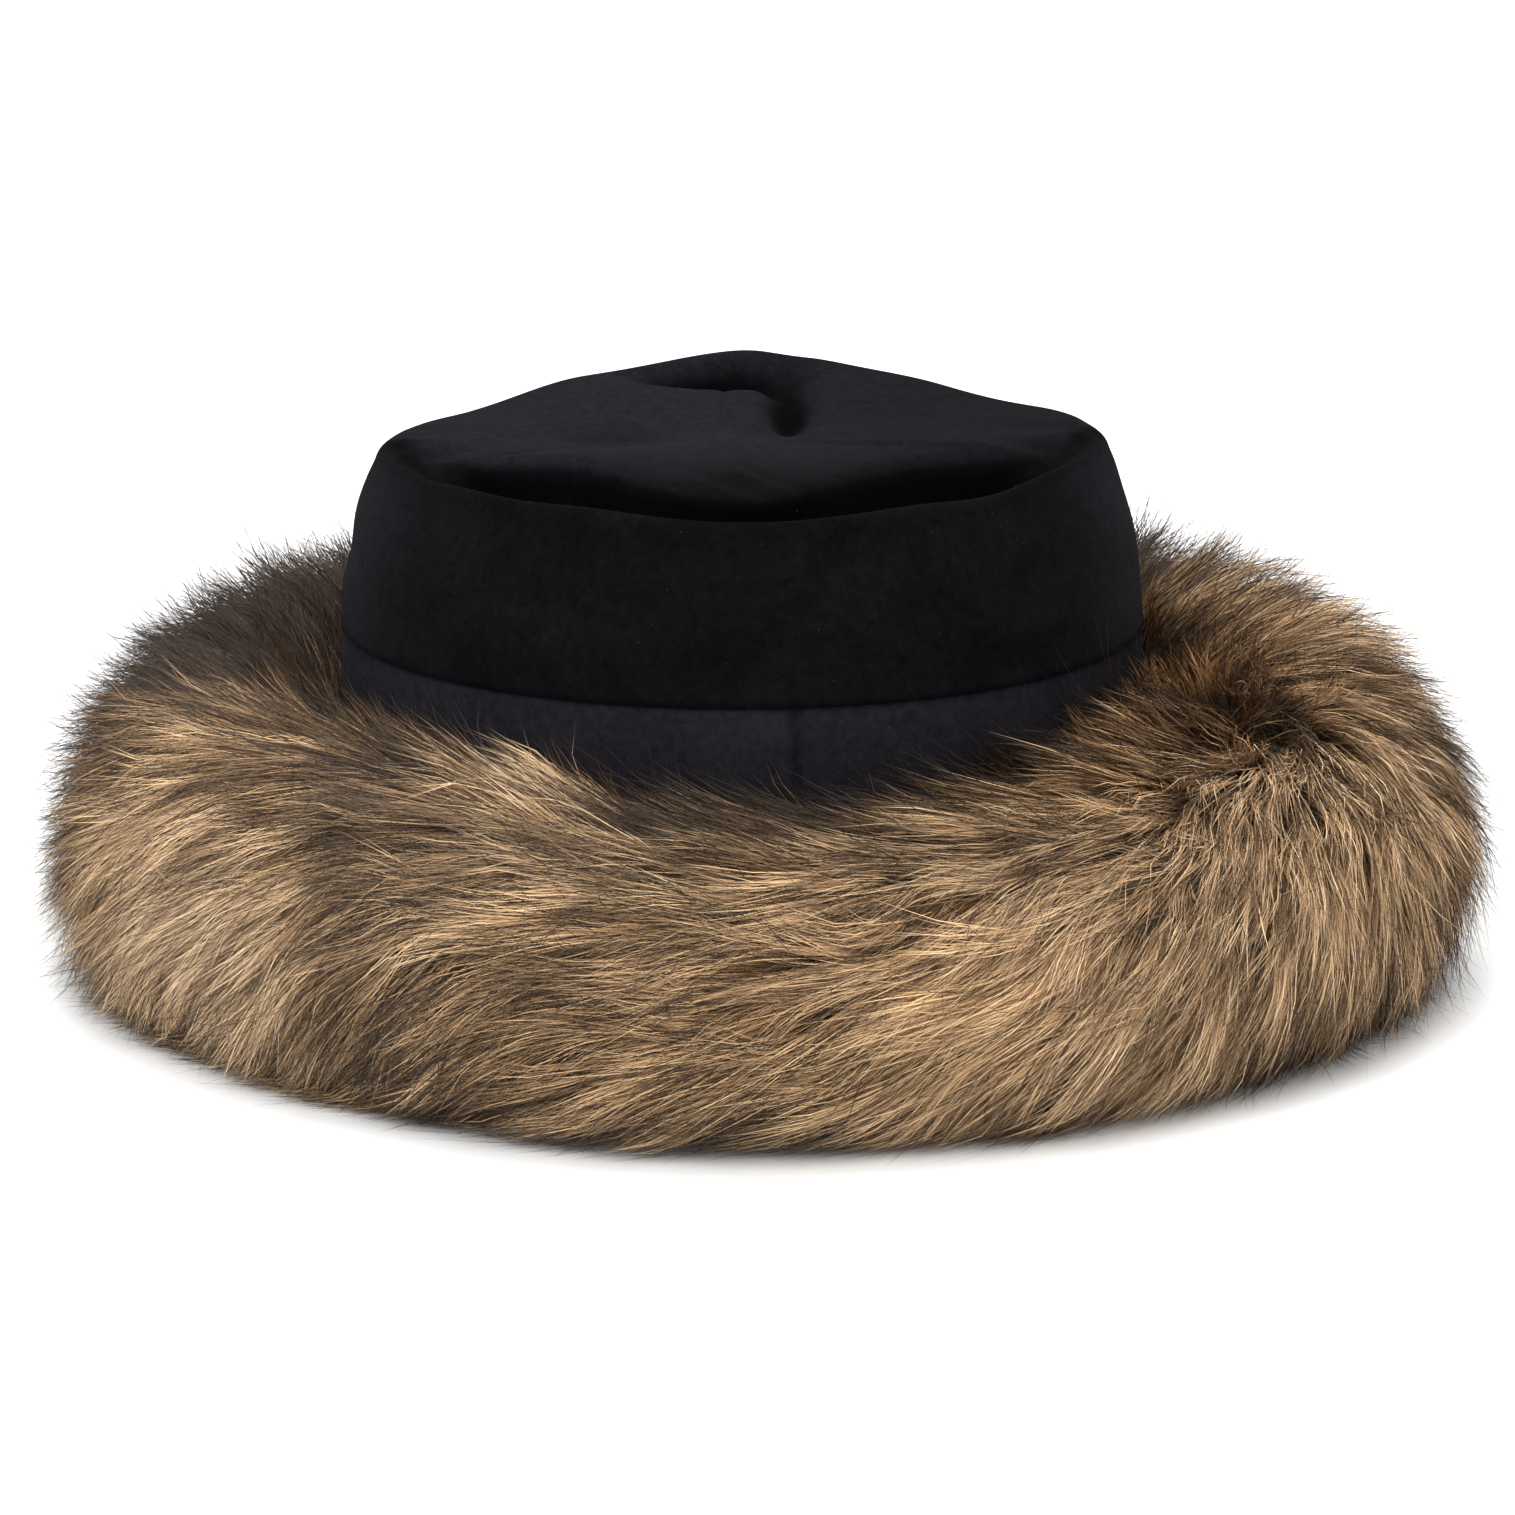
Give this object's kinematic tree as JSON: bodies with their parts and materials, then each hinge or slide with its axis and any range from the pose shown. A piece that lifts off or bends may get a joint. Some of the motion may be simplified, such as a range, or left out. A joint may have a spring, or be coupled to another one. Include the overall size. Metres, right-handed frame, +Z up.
{
  "type": "shtreimel with a tall velvet crown",
  "caption": "Round fur hat: a soft dented black velvet crown on a velvet head band, ringed by a thick roll of long-pile imitation fur, open underneath for the head.",
  "frame": {"origin": "middle of the hat's whole width and depth, on the surface that it lies on", "axes": "+Z up, front of the hat towards -Y, the wearer's left side towards +X"},
  "size_m": [0.3206, 0.3382, 0.133],
  "materials": {
    "crown_velvet": "matt black cotton velvet",
    "band_velvet": "matt blue-black cotton velvet",
    "fur": "long-pile imitation fur, golden tan with dark brown tips"
  },
  "bodies": {
    "root": {"crown": "crown_velvet", "head_band": "band_velvet", "fur_ring": "fur"}
  },
  "joints": []
}
